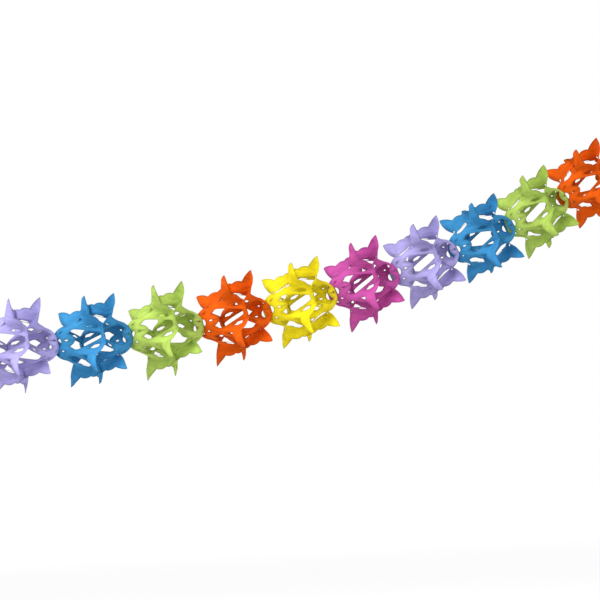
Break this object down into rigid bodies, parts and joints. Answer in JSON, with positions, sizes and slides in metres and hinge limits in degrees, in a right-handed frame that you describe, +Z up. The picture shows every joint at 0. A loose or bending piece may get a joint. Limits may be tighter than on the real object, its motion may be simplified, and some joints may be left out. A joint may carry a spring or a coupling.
{
  "type": "paper garland",
  "caption": "Drawn-out garland of die-cut paper lantern shapes in rainbow colours, glued rosette to rosette, with a punched card hanging tab at each end.",
  "frame": {"origin": "centre of the punched hanging hole in the right-hand end tab", "axes": "+X along the strand towards its higher right-hand end, +Z up, -Y towards the viewer; both hanging holes run along Y"},
  "size_m": [1.2153, 0.1414, 0.4105],
  "materials": {
    "lavender_paper": "matte",
    "blue_paper": "matte",
    "green_paper": "matte",
    "orange_paper": "matte",
    "yellow_paper": "matte",
    "magenta_paper": "matte",
    "tab_card": "matte"
  },
  "bodies": {
    "root": {"left_end_tab": "tab_card", "lavender_1_left_sheet": "lavender_paper", "lavender_1_right_sheet": "lavender_paper", "blue_1_left_sheet": "blue_paper", "blue_1_right_sheet": "blue_paper", "green_1_left_sheet": "green_paper", "green_1_right_sheet": "green_paper", "orange_1_left_sheet": "orange_paper", "orange_1_right_sheet": "orange_paper", "yellow_1_left_sheet": "yellow_paper", "yellow_1_right_sheet": "yellow_paper", "magenta_1_left_sheet": "magenta_paper", "magenta_1_right_sheet": "magenta_paper", "lavender_2_left_sheet": "lavender_paper", "lavender_2_right_sheet": "lavender_paper", "blue_2_left_sheet": "blue_paper", "blue_2_right_sheet": "blue_paper", "green_2_left_sheet": "green_paper", "green_2_right_sheet": "green_paper", "orange_2_left_sheet": "orange_paper", "orange_2_right_sheet": "orange_paper", "right_end_tab": "tab_card"}
  },
  "joints": []
}
